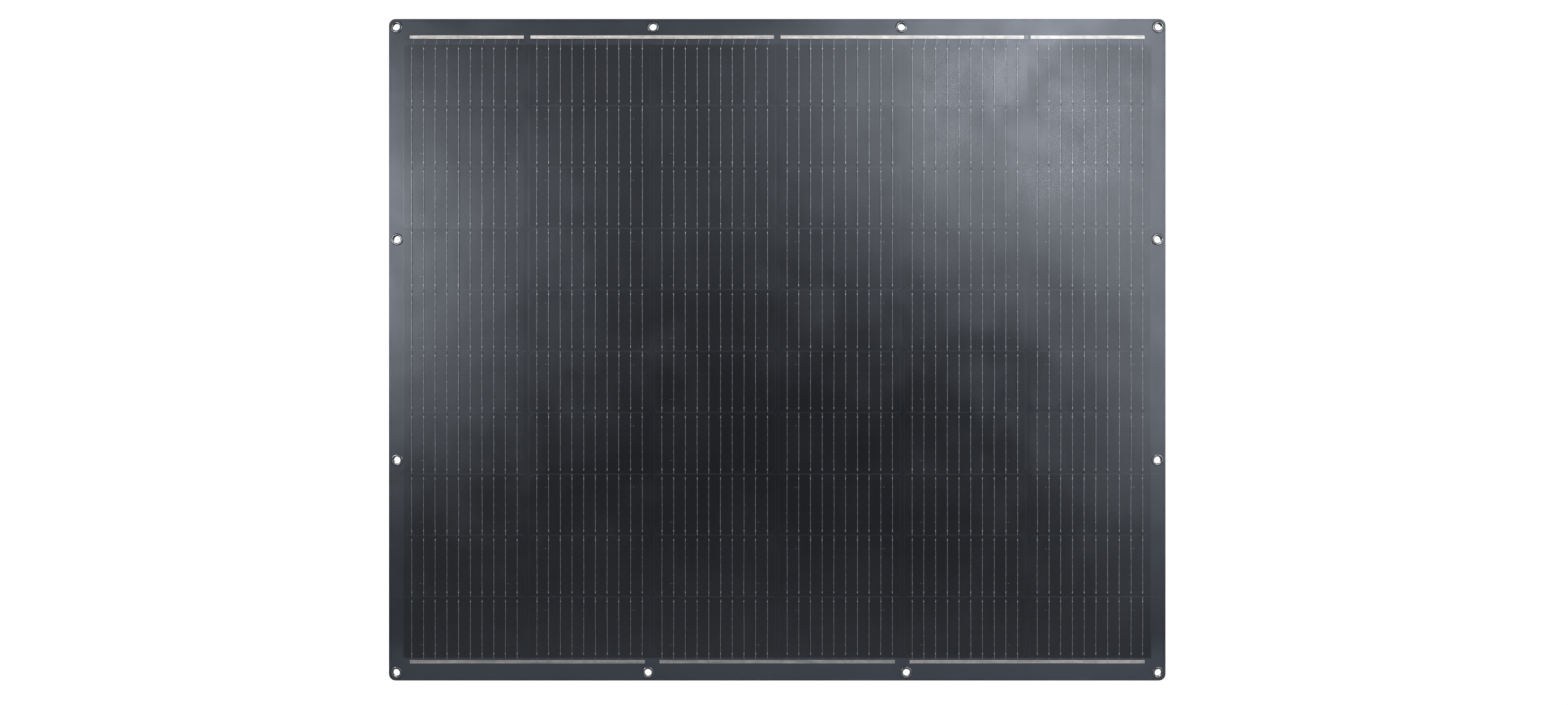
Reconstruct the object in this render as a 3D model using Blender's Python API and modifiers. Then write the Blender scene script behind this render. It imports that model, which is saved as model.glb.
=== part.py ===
"""Flexible solar sheet: a bendable laminate of half-cut cells that hangs by eyelets.

Metres, +Z up, +X to the right of someone facing the cells, front face towards -Y.
The origin is the middle of the top line of eyelets, half-way through the laminate.
The laminate is built as five strips of two rows of cells, which hinge at the gaps between
rows, so that the sheet can bend. Three small junction boxes sit on its back.
"""

import math

import bmesh
import bpy
from mathutils import Matrix, Vector

MM = 0.001

# Sheet outline
SHEET_WIDTH = 1160 * MM
SHEET_HEIGHT = 989 * MM
CORNER_RADIUS = 10 * MM
CORNER_SEGMENTS = 4
EYELET_INSET = 12 * MM
SHEET_TOP = EYELET_INSET
SHEET_BOTTOM = SHEET_TOP - SHEET_HEIGHT

# Cells
COLUMNS = 6
CELL_WIDTH = 182 * MM
CELL_HEIGHT = 91 * MM
CELL_CHAMFER = 7 * MM
COLUMN_PITCH = 186.9 * MM
ROW_PITCH = 91.8 * MM
ROW_GAP = ROW_PITCH - CELL_HEIGHT
FIRST_CELL_TOP = SHEET_TOP - 38 * MM
LINK_WIDTH = 4 * MM
LINK_THICKNESS = 0.10 * MM
LINK_LENGTH = 40 * MM

# Strips, from the top down, and how many rows of cells each holds
STRIPS = ("top", "upper", "middle", "lower", "bottom")
ROWS_PER_STRIP = 2

# Layers of the laminate: where each starts, front to back, and its thickness
SHEET_FRONT = -1.50 * MM
SHEET_BACK = 1.50 * MM
LAYERS = {
    "front_film": (SHEET_FRONT, 0.20 * MM),
    "front_encapsulant": (-1.25 * MM, 0.40 * MM),
    "rear_encapsulant": (-0.55 * MM, 0.40 * MM),
    "back_board": (-0.10 * MM, 1.60 * MM),
}
CELL_FRONT = -0.80 * MM
CELL_THICKNESS = 0.20 * MM

# Bus ribbons, which join the strings of cells above the first row and below the last
RIBBON_WIDTH = 5 * MM
RIBBON_THICKNESS = CELL_THICKNESS
RIBBON_OUTER_END = 549 * MM
TOP_RIBBON_HEIGHT = SHEET_TOP - 27 * MM
BOTTOM_RIBBON_HEIGHT = SHEET_BOTTOM + 28 * MM
TOP_RIBBON_GAP = 10 * MM
BOTTOM_RIBBON_GAP = 22 * MM
TAB_WIDTH = 5 * MM
TAB_THICKNESS = 0.3 * MM
TAB_END = 6 * MM

# Eyelets: a rolled front flange, a barrel through the sheet and a rolled rear flange
EYELET_BORE = 5.35 * MM
EYELET_BARREL = 6.15 * MM
EYELET_FLANGE = 9.0 * MM
EYELET_REAR_FLANGE = 8.3 * MM
EYELET_GAP = 0.1 * MM
EYELET_STEPS = 16
EYELET_HOLE = EYELET_BARREL + 0.3 * MM
HOLE_SIDES = 12
TOP_EYELETS = (-569 * MM, -185.5 * MM, 185.5 * MM, 569 * MM)
BOTTOM_EYELETS = (-569 * MM, -193 * MM, 193 * MM, 569 * MM)
SIDE_EYELET_X = SHEET_WIDTH / 2 - EYELET_INSET
UPPER_SIDE_EYELET = SHEET_TOP - SHEET_HEIGHT / 3
LOWER_SIDE_EYELET = SHEET_TOP - SHEET_HEIGHT * 2 / 3

# Junction boxes, on the back behind the gaps between the top ribbons
BOXES = {"left": -2 * COLUMN_PITCH, "middle": 0.0, "right": 2 * COLUMN_PITCH}
BOX_SIZE = Vector((92 * MM, 12 * MM, 46 * MM))
BOX_FRONT = SHEET_BACK + 0.3 * MM
BOX_MIDDLE_HEIGHT = SHEET_TOP - 39 * MM
BOX_WALL = 2.2 * MM
BOX_BASE = 2.0 * MM
BOX_CORNER = 4 * MM
BOX_CORNER_SEGMENTS = 3
SLOT_LENGTH = 26 * MM
SLOT_HEIGHT = 3 * MM
SEAL_THICKNESS = 0.8 * MM
LID_THICKNESS = 2.0 * MM
LID_LIP_DEPTH = 3.5 * MM
LID_LIP_WALL = 1.5 * MM
FIT_GAP = 0.3 * MM
SEAL_GAP = 0.1 * MM
DIODE_SIZE = Vector((12 * MM, 4.5 * MM, 8 * MM))
DIODE_LEAD = Vector((44 * MM, 0.8 * MM, 1.4 * MM))
DIODE_DROP = 6 * MM

# Cable glands, under the two outer boxes
GLAND_BOXES = ("left", "right")
GLAND_BORE = 3.2 * MM
GLAND_COLLAR = 5.8 * MM
GLAND_COLLAR_LENGTH = 3.5 * MM
GLAND_THREAD = 4.3 * MM
GLAND_LENGTH = 13 * MM
GLAND_STEPS = 16
NUT_FLATS = 11.6 * MM
NUT_LENGTH = 8.5 * MM

COLOURS = {
    "front_film": ((0.62, 0.64, 0.68, 0.25), 0.35, 0.0),
    "encapsulant": ((0.55, 0.57, 0.60, 0.25), 0.30, 0.0),
    "cell": ((0.045, 0.046, 0.052, 1.0), 0.32, 0.2),
    "back_board": ((0.030, 0.031, 0.034, 1.0), 0.55, 0.0),
    "ribbon": ((0.70, 0.66, 0.60, 1.0), 0.30, 1.0),
    "eyelet": ((0.33, 0.33, 0.34, 1.0), 0.22, 1.0),
    "box_plastic": ((0.018, 0.018, 0.020, 1.0), 0.50, 0.0),
    "seal_rubber": ((0.03, 0.03, 0.03, 1.0), 0.80, 0.0),
    "diode": ((0.02, 0.02, 0.022, 1.0), 0.40, 0.0),
}


def clear_scene():
    for obj in list(bpy.data.objects):
        bpy.data.objects.remove(obj)


def make_collection(name):
    collection = bpy.data.collections.new(name)
    bpy.context.scene.collection.children.link(collection)
    return collection


def make_material(name):
    colour, roughness, metallic = COLOURS[name]
    material = bpy.data.materials.new(name)
    material.use_nodes = True
    material.diffuse_color = colour
    shader = material.node_tree.nodes["Principled BSDF"]
    shader.inputs["Base Color"].default_value = colour
    shader.inputs["Roughness"].default_value = roughness
    shader.inputs["Metallic"].default_value = metallic
    shader.inputs["Alpha"].default_value = colour[3]
    return material


clear_scene()
PARTS = make_collection("flexible_solar_sheet")
CUTTERS = make_collection("cutters")
MATERIALS = {name: make_material(name) for name in COLOURS}


def hinge_height(strip):
    """Height of the axis between this strip and the one above it."""
    return FIRST_CELL_TOP - strip * ROWS_PER_STRIP * ROW_PITCH + ROW_GAP / 2


def strip_span(strip):
    """Lowest and highest point of a strip of the sheet."""
    last = len(STRIPS) - 1
    low = SHEET_BOTTOM if strip == last else hinge_height(strip + 1) + ROW_GAP / 2
    high = SHEET_TOP if strip == 0 else hinge_height(strip) - ROW_GAP / 2
    return low, high


def column_centre(column):
    return (column - (COLUMNS - 1) / 2) * COLUMN_PITCH


def add_box(mesh, low, high):
    """Adds a box between two corners and returns its new edges."""
    low, high = Vector(low), Vector(high)
    place = Matrix.Translation((low + high) / 2) @ Matrix.Diagonal((*(high - low), 1))
    made = bmesh.ops.create_cube(mesh, size=1, matrix=place)
    return {edge for vert in made["verts"] for edge in vert.link_edges}


def edges_along_y(edges):
    return [e for e in edges if abs(e.verts[0].co.y - e.verts[1].co.y) > 1e-6]


def round_edges(mesh, edges, radius, segments):
    bmesh.ops.bevel(
        mesh, geom=edges, offset=radius, segments=segments, profile=0.5, affect="EDGES"
    )


def finish_object(name, mesh, material, parent, smooth=False):
    """Turns a bmesh with world coordinates into a named part that hangs from its parent empty."""
    data = bpy.data.meshes.new(name)
    origin = parent.location.copy() if parent else Vector()
    mesh.transform(Matrix.Translation(-origin))
    mesh.to_mesh(data)
    mesh.free()
    if smooth:
        data.shade_smooth()
        data.set_sharp_from_angle(angle=math.radians(30))
    obj = bpy.data.objects.new(name, data)
    obj.parent = parent
    obj.data.materials.append(MATERIALS[material])
    PARTS.objects.link(obj)
    return obj


def make_cutter(name, mesh):
    data = bpy.data.meshes.new(name)
    mesh.to_mesh(data)
    mesh.free()
    obj = bpy.data.objects.new(name, data)
    obj.hide_render = True
    obj.display_type = "WIRE"
    CUTTERS.objects.link(obj)
    return obj


def combine(obj, operation, other):
    modifier = obj.modifiers.new(other.name, "BOOLEAN")
    modifier.operation = operation
    modifier.solver = "EXACT"
    modifier.object = other


def make_pivot(name, height):
    """An empty on a strip's hinge axis, from which the pieces of that strip hang."""
    pivot = bpy.data.objects.new(name, None)
    pivot.empty_display_size = 0.05
    pivot.location = (0, 0, height)
    PARTS.objects.link(pivot)
    return pivot


def eyelet_places():
    """Name, strip and centre of each eyelet."""
    places = []
    for number, x in enumerate(TOP_EYELETS, 1):
        places.append((f"eyelet_top_{number}", "top", x, 0.0))
    for number, x in enumerate(BOTTOM_EYELETS, 1):
        places.append((f"eyelet_bottom_{number}", "bottom", x, SHEET_BOTTOM + EYELET_INSET))
    for side, x in (("left", -SIDE_EYELET_X), ("right", SIDE_EYELET_X)):
        places.append((f"eyelet_{side}_upper", "upper", x, UPPER_SIDE_EYELET))
        places.append((f"eyelet_{side}_lower", "lower", x, LOWER_SIDE_EYELET))
    return places


def make_hole_cutters():
    """One cutter for each strip that has eyelets, with a round hole at each of them."""
    cutters = {}
    along_y = Matrix.Rotation(math.radians(90), 4, "X")
    for strip in STRIPS:
        centres = [(x, z) for _, owner, x, z in eyelet_places() if owner == strip]
        if not centres:
            continue
        mesh = bmesh.new()
        for x, z in centres:
            bmesh.ops.create_cone(
                mesh,
                cap_ends=True,
                segments=HOLE_SIDES,
                radius1=EYELET_HOLE,
                radius2=EYELET_HOLE,
                depth=20 * MM,
                matrix=Matrix.Translation((x, 0, z)) @ along_y,
            )
        cutters[strip] = make_cutter(f"eyelet_holes_{strip}", mesh)
    return cutters


def make_slot_cutter():
    """Slots behind the gaps of the top ribbons, through the layers that lie behind them."""
    front = (CELL_FRONT + CELL_THICKNESS + LAYERS["rear_encapsulant"][0]) / 2
    mesh = bmesh.new()
    for x in BOXES.values():
        add_box(
            mesh,
            (x - SLOT_LENGTH / 2, front, TOP_RIBBON_HEIGHT - SLOT_HEIGHT / 2),
            (x + SLOT_LENGTH / 2, SHEET_BACK + 5 * MM, TOP_RIBBON_HEIGHT + SLOT_HEIGHT / 2),
        )
    return make_cutter("ribbon_slots", mesh)


def make_layer(layer, strip, pivot, holes, slots):
    """One strip of one layer of the laminate, with its round corners and eyelet holes."""
    front, thickness = LAYERS[layer]
    low, high = strip_span(STRIPS.index(strip))
    half = SHEET_WIDTH / 2
    mesh = bmesh.new()
    edges = edges_along_y(add_box(mesh, (-half, front, low), (half, front + thickness, high)))
    corner = {"top": high, "bottom": low}.get(strip)
    if corner is not None:
        at_corner = [e for e in edges if abs(e.verts[0].co.z - corner) < 1e-6]
        round_edges(mesh, at_corner, CORNER_RADIUS, CORNER_SEGMENTS)
    material = "encapsulant" if "encapsulant" in layer else layer
    obj = finish_object(f"{layer}_{strip}", mesh, material, pivot)
    if strip in holes:
        combine(obj, "DIFFERENCE", holes[strip])
    if strip == "top" and layer in ("rear_encapsulant", "back_board"):
        combine(obj, "DIFFERENCE", slots)


def make_cells(strip, pivot):
    """The half-cells of two rows. Every second column is turned, so its cut corners are at the top."""
    first_row = STRIPS.index(strip) * ROWS_PER_STRIP
    middle = CELL_FRONT + CELL_THICKNESS / 2
    cells = bmesh.new()
    row_links = bmesh.new()
    for row in range(first_row, first_row + ROWS_PER_STRIP):
        top = FIRST_CELL_TOP - row * ROW_PITCH
        for column in range(COLUMNS):
            x = column_centre(column)
            edges = add_box(
                cells,
                (x - CELL_WIDTH / 2, CELL_FRONT, top - CELL_HEIGHT),
                (x + CELL_WIDTH / 2, CELL_FRONT + CELL_THICKNESS, top),
            )
            cut_height = top - CELL_HEIGHT if column % 2 == 0 else top
            cut = [e for e in edges_along_y(edges) if abs(e.verts[0].co.z - cut_height) < 1e-6]
            round_edges(cells, cut, CELL_CHAMFER, 1)
        height = top - CELL_HEIGHT / 2
        add_box(
            row_links,
            (column_centre(0), middle - LINK_THICKNESS / 2, height - LINK_WIDTH / 2),
            (column_centre(COLUMNS - 1), middle + LINK_THICKNESS / 2, height + LINK_WIDTH / 2),
        )
    gap = FIRST_CELL_TOP - (first_row + 1) * ROW_PITCH + ROW_GAP / 2
    column_link = bmesh.new()
    add_box(
        column_link,
        (column_centre(0) - LINK_WIDTH / 2, middle - LINK_THICKNESS / 2, gap - LINK_LENGTH / 2),
        (column_centre(0) + LINK_WIDTH / 2, middle + LINK_THICKNESS / 2, gap + LINK_LENGTH / 2),
    )
    obj = finish_object(f"cells_{strip}", cells, "cell", pivot)
    combine(obj, "UNION", make_cutter(f"row_links_{strip}", row_links))
    combine(obj, "UNION", make_cutter(f"column_link_{strip}", column_link))


def make_ribbon(name, start, end, height, pivot, tabs=()):
    """A flat ribbon from start to end. Each tab is an end turned back through the sheet."""
    mesh = bmesh.new()
    add_box(
        mesh,
        (start, CELL_FRONT, height - RIBBON_WIDTH / 2),
        (end, CELL_FRONT + RIBBON_THICKNESS, height + RIBBON_WIDTH / 2),
    )
    obj = finish_object(name, mesh, "ribbon", pivot)
    if tabs:
        tab_mesh = bmesh.new()
        for x in tabs:
            add_box(
                tab_mesh,
                (x - TAB_WIDTH / 2, CELL_FRONT + RIBBON_THICKNESS / 2, height - TAB_THICKNESS / 2),
                (x + TAB_WIDTH / 2, TAB_END, height + TAB_THICKNESS / 2),
            )
        combine(obj, "UNION", make_cutter(f"{name}_tabs", tab_mesh))


def make_ribbons(pivots):
    gaps = sorted(BOXES.values())
    starts = [-RIBBON_OUTER_END] + [x + TOP_RIBBON_GAP / 2 for x in gaps]
    ends = [x - TOP_RIBBON_GAP / 2 for x in gaps] + [RIBBON_OUTER_END]
    for number, (start, end) in enumerate(zip(starts, ends), 1):
        tabs = []
        if number > 1:
            tabs.append(start + TAB_WIDTH)
        if number < len(starts):
            tabs.append(end - TAB_WIDTH)
        make_ribbon(
            f"bus_ribbon_top_{number}", start, end, TOP_RIBBON_HEIGHT, pivots["top"], tabs
        )
    inner = COLUMN_PITCH - BOTTOM_RIBBON_GAP / 2
    outer = COLUMN_PITCH + BOTTOM_RIBBON_GAP / 2
    spans = ((-RIBBON_OUTER_END, -outer), (-inner, inner), (outer, RIBBON_OUTER_END))
    for number, (start, end) in enumerate(spans, 1):
        make_ribbon(
            f"bus_ribbon_bottom_{number}", start, end, BOTTOM_RIBBON_HEIGHT, pivots["bottom"]
        )


def turned(name, profile, steps, material, place, parent):
    """A closed profile of (radius, height) points, turned about the local Z axis."""
    mesh = bmesh.new()
    points = [mesh.verts.new((radius, 0, height)) for radius, height in profile]
    for start, end in zip(points, points[1:] + points[:1]):
        mesh.edges.new((start, end))
    data = bpy.data.meshes.new(name)
    mesh.to_mesh(data)
    mesh.free()
    obj = bpy.data.objects.new(name, data)
    obj.data.materials.append(MATERIALS[material])
    PARTS.objects.link(obj)
    obj.parent = parent
    obj.matrix_basis = Matrix.Translation(-parent.location) @ place
    screw = obj.modifiers.new("turn", "SCREW")
    screw.axis = "Z"
    screw.steps = steps
    screw.render_steps = steps
    screw.use_merge_vertices = True
    screw.merge_threshold = 0.00001
    return obj


def make_eyelets(pivots):
    """The local Z axis of an eyelet points out of the front of the sheet."""
    front = -SHEET_FRONT + EYELET_GAP
    rear = -SHEET_BACK - EYELET_GAP
    profile = (
        (EYELET_BORE, front + 0.7 * MM),
        (EYELET_BARREL, front + 1.25 * MM),
        (EYELET_FLANGE - 1.6 * MM, front + 1.25 * MM),
        (EYELET_FLANGE - 0.4 * MM, front + 0.7 * MM),
        (EYELET_FLANGE, front),
        (EYELET_BARREL, front),
        (EYELET_BARREL, rear),
        (EYELET_REAR_FLANGE, rear),
        (EYELET_REAR_FLANGE - 0.4 * MM, rear - 0.7 * MM),
        (EYELET_BARREL + 0.5 * MM, rear - 1.0 * MM),
        (EYELET_BORE, rear - 0.6 * MM),
    )
    facing_front = Matrix.Rotation(math.radians(90), 4, "X")
    for name, strip, x, z in eyelet_places():
        place = Matrix.Translation((x, 0, z)) @ facing_front
        turned(name, profile, EYELET_STEPS, "eyelet", place, pivots[strip])


def add_rounded_block(mesh, low, high, radius):
    edges = add_box(mesh, low, high)
    round_edges(mesh, edges_along_y(edges), radius, BOX_CORNER_SEGMENTS)


def box_corners(x, inset, front, back):
    """Corners of a block as wide and high as a junction box, less the inset on each side."""
    across = BOX_SIZE.x / 2 - inset
    up = BOX_SIZE.z / 2 - inset
    low = (x - across, front, BOX_MIDDLE_HEIGHT - up)
    high = (x + across, back, BOX_MIDDLE_HEIGHT + up)
    return low, high


def make_housing(side, x, pivot):
    """A tray whose open side faces backwards, with a slot in its base for the ribbons."""
    rim = BOX_FRONT + BOX_SIZE.y
    mesh = bmesh.new()
    add_rounded_block(mesh, *box_corners(x, 0, BOX_FRONT, rim), BOX_CORNER)
    obj = finish_object(f"junction_housing_{side}", mesh, "box_plastic", pivot)
    hollow = bmesh.new()
    inside = box_corners(x, BOX_WALL, BOX_FRONT + BOX_BASE, rim + 5 * MM)
    add_rounded_block(hollow, *inside, BOX_CORNER - BOX_WALL)
    combine(obj, "DIFFERENCE", make_cutter(f"housing_hollow_{side}", hollow))
    slot = bmesh.new()
    add_box(
        slot,
        (x - SLOT_LENGTH / 2, SHEET_BACK - 1 * MM, TOP_RIBBON_HEIGHT - SLOT_HEIGHT / 2),
        (x + SLOT_LENGTH / 2, BOX_FRONT + BOX_BASE + 1 * MM, TOP_RIBBON_HEIGHT + SLOT_HEIGHT / 2),
    )
    combine(obj, "DIFFERENCE", make_cutter(f"housing_slot_{side}", slot))
    if side in GLAND_BOXES:
        bottom = Vector((x, BOX_FRONT + BOX_SIZE.y / 2, BOX_MIDDLE_HEIGHT - BOX_SIZE.z / 2))
        outlet = bmesh.new()
        bmesh.ops.create_cone(
            outlet,
            cap_ends=True,
            segments=HOLE_SIDES,
            radius1=GLAND_BORE,
            radius2=GLAND_BORE,
            depth=3 * BOX_WALL,
            matrix=Matrix.Translation(bottom),
        )
        combine(obj, "DIFFERENCE", make_cutter(f"cable_outlet_{side}", outlet))


def make_lid(side, x, pivot):
    """A plate with a lip that plugs into the housing, and the seal that it presses on the rim."""
    rim = BOX_FRONT + BOX_SIZE.y
    seal_front = rim + SEAL_GAP
    lid_front = seal_front + SEAL_THICKNESS + SEAL_GAP
    seal = bmesh.new()
    around = box_corners(x, FIT_GAP, seal_front, seal_front + SEAL_THICKNESS)
    add_rounded_block(seal, *around, BOX_CORNER - FIT_GAP)
    seal_obj = finish_object(f"lid_seal_{side}", seal, "seal_rubber", pivot)
    opening = bmesh.new()
    inside = box_corners(x, BOX_WALL, seal_front - 1 * MM, seal_front + SEAL_THICKNESS + 1 * MM)
    add_rounded_block(opening, *inside, BOX_CORNER - BOX_WALL)
    combine(seal_obj, "DIFFERENCE", make_cutter(f"seal_opening_{side}", opening))

    plate = bmesh.new()
    whole = box_corners(x, 0, lid_front, lid_front + LID_THICKNESS)
    add_rounded_block(plate, *whole, BOX_CORNER)
    lid = finish_object(f"junction_lid_{side}", plate, "box_plastic", pivot)
    lip_inset = BOX_WALL + FIT_GAP
    lip_front = rim - LID_LIP_DEPTH
    lip = bmesh.new()
    block = box_corners(x, lip_inset, lip_front, lid_front + LID_THICKNESS / 2)
    add_rounded_block(lip, *block, BOX_CORNER - BOX_WALL - FIT_GAP)
    combine(lid, "UNION", make_cutter(f"lid_lip_{side}", lip))
    lip_hollow = bmesh.new()
    core = box_corners(x, lip_inset + LID_LIP_WALL, lip_front - 1 * MM, lid_front + FIT_GAP)
    add_box(lip_hollow, *core)
    combine(lid, "DIFFERENCE", make_cutter(f"lid_hollow_{side}", lip_hollow))


def make_diode(side, x, pivot):
    """The bypass diode on the floor of its box, with a lead to either side."""
    floor = BOX_FRONT + BOX_BASE + FIT_GAP
    centre = Vector((x, floor + DIODE_SIZE.y / 2, BOX_MIDDLE_HEIGHT - DIODE_DROP))
    body = bmesh.new()
    add_box(body, centre - DIODE_SIZE / 2, centre + DIODE_SIZE / 2)
    obj = finish_object(f"bypass_diode_{side}", body, "diode", pivot)
    leads = bmesh.new()
    add_box(leads, centre - DIODE_LEAD / 2, centre + DIODE_LEAD / 2)
    combine(obj, "UNION", make_cutter(f"diode_leads_{side}", leads))


def make_gland(side, x, pivot):
    """A hollow gland that points down from its box, and the nut that would grip a cable."""
    top = BOX_MIDDLE_HEIGHT - BOX_SIZE.z / 2 - FIT_GAP
    depth = BOX_FRONT + BOX_SIZE.y / 2
    profile = (
        (GLAND_BORE, 0),
        (GLAND_COLLAR, 0),
        (GLAND_COLLAR, -GLAND_COLLAR_LENGTH),
        (GLAND_THREAD, -GLAND_COLLAR_LENGTH),
        (GLAND_THREAD, -GLAND_LENGTH),
        (GLAND_BORE, -GLAND_LENGTH),
    )
    place = Matrix.Translation((x, depth, top))
    turned(f"cable_gland_{side}", profile, GLAND_STEPS, "box_plastic", place, pivot)
    middle = top - GLAND_COLLAR_LENGTH - FIT_GAP - NUT_LENGTH / 2
    flats_facing_back = Matrix.Rotation(math.radians(30), 4, "Z")
    nut = bmesh.new()
    corner_radius = NUT_FLATS / 2 / math.cos(math.radians(30))
    bmesh.ops.create_cone(
        nut,
        cap_ends=True,
        segments=6,
        radius1=corner_radius,
        radius2=corner_radius,
        depth=NUT_LENGTH,
        matrix=Matrix.Translation((x, depth, middle)) @ flats_facing_back,
    )
    obj = finish_object(f"gland_nut_{side}", nut, "box_plastic", pivot)
    bore = bmesh.new()
    bmesh.ops.create_cone(
        bore,
        cap_ends=True,
        segments=GLAND_STEPS,
        radius1=GLAND_THREAD + FIT_GAP,
        radius2=GLAND_THREAD + FIT_GAP,
        depth=2 * NUT_LENGTH,
        matrix=Matrix.Translation((x, depth, middle)),
    )
    combine(obj, "DIFFERENCE", make_cutter(f"nut_bore_{side}", bore))


def main():
    pivots = {}
    for number, strip in enumerate(STRIPS):
        height = hinge_height(number) if number else 0.0
        pivots[strip] = make_pivot(f"{strip}_pivot", height)
    holes = make_hole_cutters()
    slots = make_slot_cutter()
    for strip in STRIPS:
        for layer in LAYERS:
            make_layer(layer, strip, pivots[strip], holes, slots)
        make_cells(strip, pivots[strip])
    make_ribbons(pivots)
    make_eyelets(pivots)
    for side, x in BOXES.items():
        make_housing(side, x, pivots["top"])
        make_lid(side, x, pivots["top"])
        make_diode(side, x, pivots["top"])
        if side in GLAND_BOXES:
            make_gland(side, x, pivots["top"])


main()
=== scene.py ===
# %% [markdown]
# # A flexible solar sheet
# This lesson dresses the engineering model of a bendable solar sheet. The real sheet is a thin
# laminate: black half-cells and silver wires lie between a clear textured front film and a black
# back board, and twelve metal eyelets let it hang from cords. The engineering model comes first,
# because every size and place below is read from it.

# %% Load the engineering model
import math
from collections import namedtuple

import bmesh
import bpy
from mathutils import Matrix, Vector, noise


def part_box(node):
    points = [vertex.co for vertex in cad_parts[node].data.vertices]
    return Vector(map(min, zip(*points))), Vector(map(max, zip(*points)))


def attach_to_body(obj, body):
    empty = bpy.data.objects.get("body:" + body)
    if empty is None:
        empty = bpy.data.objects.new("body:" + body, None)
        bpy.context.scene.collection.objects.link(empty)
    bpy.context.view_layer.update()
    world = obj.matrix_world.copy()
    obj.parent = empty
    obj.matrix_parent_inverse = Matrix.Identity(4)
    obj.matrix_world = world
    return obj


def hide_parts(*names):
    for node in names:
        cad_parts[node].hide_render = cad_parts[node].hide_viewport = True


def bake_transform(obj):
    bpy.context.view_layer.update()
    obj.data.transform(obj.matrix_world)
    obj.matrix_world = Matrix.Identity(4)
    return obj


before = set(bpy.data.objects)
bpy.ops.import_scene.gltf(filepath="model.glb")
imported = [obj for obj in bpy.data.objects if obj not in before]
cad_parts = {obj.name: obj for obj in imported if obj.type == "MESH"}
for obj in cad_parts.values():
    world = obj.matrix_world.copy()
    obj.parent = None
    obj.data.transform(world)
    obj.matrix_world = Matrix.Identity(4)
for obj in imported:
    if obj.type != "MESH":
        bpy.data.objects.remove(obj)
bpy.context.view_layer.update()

# %% [markdown]
# ## Sizes
# The sheet faces -Y and hangs down from the line of its top eyelets. The layers are thinner than
# a millimetre, so their depths come straight from the engineering parts, and the pitch of the
# cells is measured between them. Reading the numbers keeps the looks and the mechanics together.

# %% Sizes read from the engineering parts
MM = 0.001
SHEET_LEFT, FILM_FRONT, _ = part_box("front_film_top")[0]
SHEET_RIGHT, FILM_BACK, SHEET_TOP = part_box("front_film_top")[1]
SHEET_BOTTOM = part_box("front_film_bottom")[0].z
BOARD_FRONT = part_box("rear_encapsulant_top")[0].y
BOARD_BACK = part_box("back_board_top")[1].y
CELLS_LEFT, CELL_FRONT, FIRST_STRIP_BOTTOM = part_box("cells_top")[0]
CELLS_RIGHT, CELL_BACK, FIRST_CELL_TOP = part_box("cells_top")[1]
LAST_CELL_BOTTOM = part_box("cells_bottom")[0].z
SHEET_MIDDLE = Vector((0, 0, (SHEET_TOP + SHEET_BOTTOM) / 2))
print(f"sheet {SHEET_RIGHT - SHEET_LEFT:.3f} m wide, {SHEET_TOP - SHEET_BOTTOM:.3f} m high")

# %% The grid of cells
COLUMNS = 6
CELL_WIDTH = 182 * MM
COLUMN_PITCH = (CELLS_RIGHT - CELLS_LEFT - CELL_WIDTH) / (COLUMNS - 1)
ROW_PITCH = (FIRST_CELL_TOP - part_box("cells_upper")[1].z) / 2
CELL_HEIGHT = FIRST_CELL_TOP - ROW_PITCH - FIRST_STRIP_BOTTOM
ROW_GAP = ROW_PITCH - CELL_HEIGHT
CELL_CUT = 7 * MM
WIRES = 10
WIRE_PITCH = 17.5 * MM
WIRE_DEPTH = (FILM_BACK + CELL_FRONT) / 2
FIELD_MIDDLE = (FIRST_CELL_TOP + LAST_CELL_BOTTOM) / 2
FIELD_HEIGHT = FIRST_CELL_TOP - LAST_CELL_BOTTOM
print(f"columns every {COLUMN_PITCH / MM:.1f} mm, rows every {ROW_PITCH / MM:.1f} mm")


# %% Places on the grid
def column_centre(column):
    return (column - (COLUMNS - 1) / 2) * COLUMN_PITCH


def cell_top(row):
    return FIRST_CELL_TOP - row * ROW_PITCH


def runs_down(column):
    """The current runs down every second column and up the others."""
    return column % 2 == 0


print("first column centre", round(column_centre(0), 4))

# %% [markdown]
# ## Six segments
# The engineering sheet is five stiff strips on four hinges. The real sheet bends smoothly, so the
# looks are cut into segments half-way between hinges: an end segment rides on one strip, and a
# middle one crosses a hinge and has its place put into its mesh. Every layer is cut at the same
# heights.

# %% The segments
Segment = namedtuple("Segment", "name first_row last_row top bottom bodies")
STRIPS = ("top", "upper", "middle", "lower", "bottom")


def gap_below(row):
    """Height of the middle of the gap under a row of cells."""
    return cell_top(row) - CELL_HEIGHT - ROW_GAP / 2


SEGMENTS = [Segment("row_1", 0, 0, SHEET_TOP, gap_below(0), ("sheet_top",))]
for number in range(len(STRIPS) - 1):
    first = 1 + 2 * number
    SEGMENTS.append(
        Segment(
            f"rows_{first + 1}_{first + 2}",
            first,
            first + 1,
            gap_below(first - 1),
            gap_below(first + 1),
            (f"sheet_{STRIPS[number]}", f"sheet_{STRIPS[number + 1]}"),
        )
    )
SEGMENTS.append(Segment("row_10", 9, 9, gap_below(8), SHEET_BOTTOM, ("sheet_bottom",)))
print([segment.name for segment in SEGMENTS])


# %% Hanging a piece on its strip
def attach(piece, segment):
    """Rides a piece on its strip. A piece that crosses two strips only has its place put into its
    mesh.
    """
    if len(segment.bodies) == 1:
        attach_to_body(piece, segment.bodies[0])
    else:
        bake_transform(piece)


print("bending segments:", sum(len(segment.bodies) == 2 for segment in SEGMENTS))

# %% [markdown]
# ## Hand tools
# Pieces are shaped as by hand: a primitive is added, edges and faces are picked by their place,
# and edit-mode operators change them. These few helpers only select things and switch modes, so
# that the cells below read as a list of modelling steps.


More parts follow.
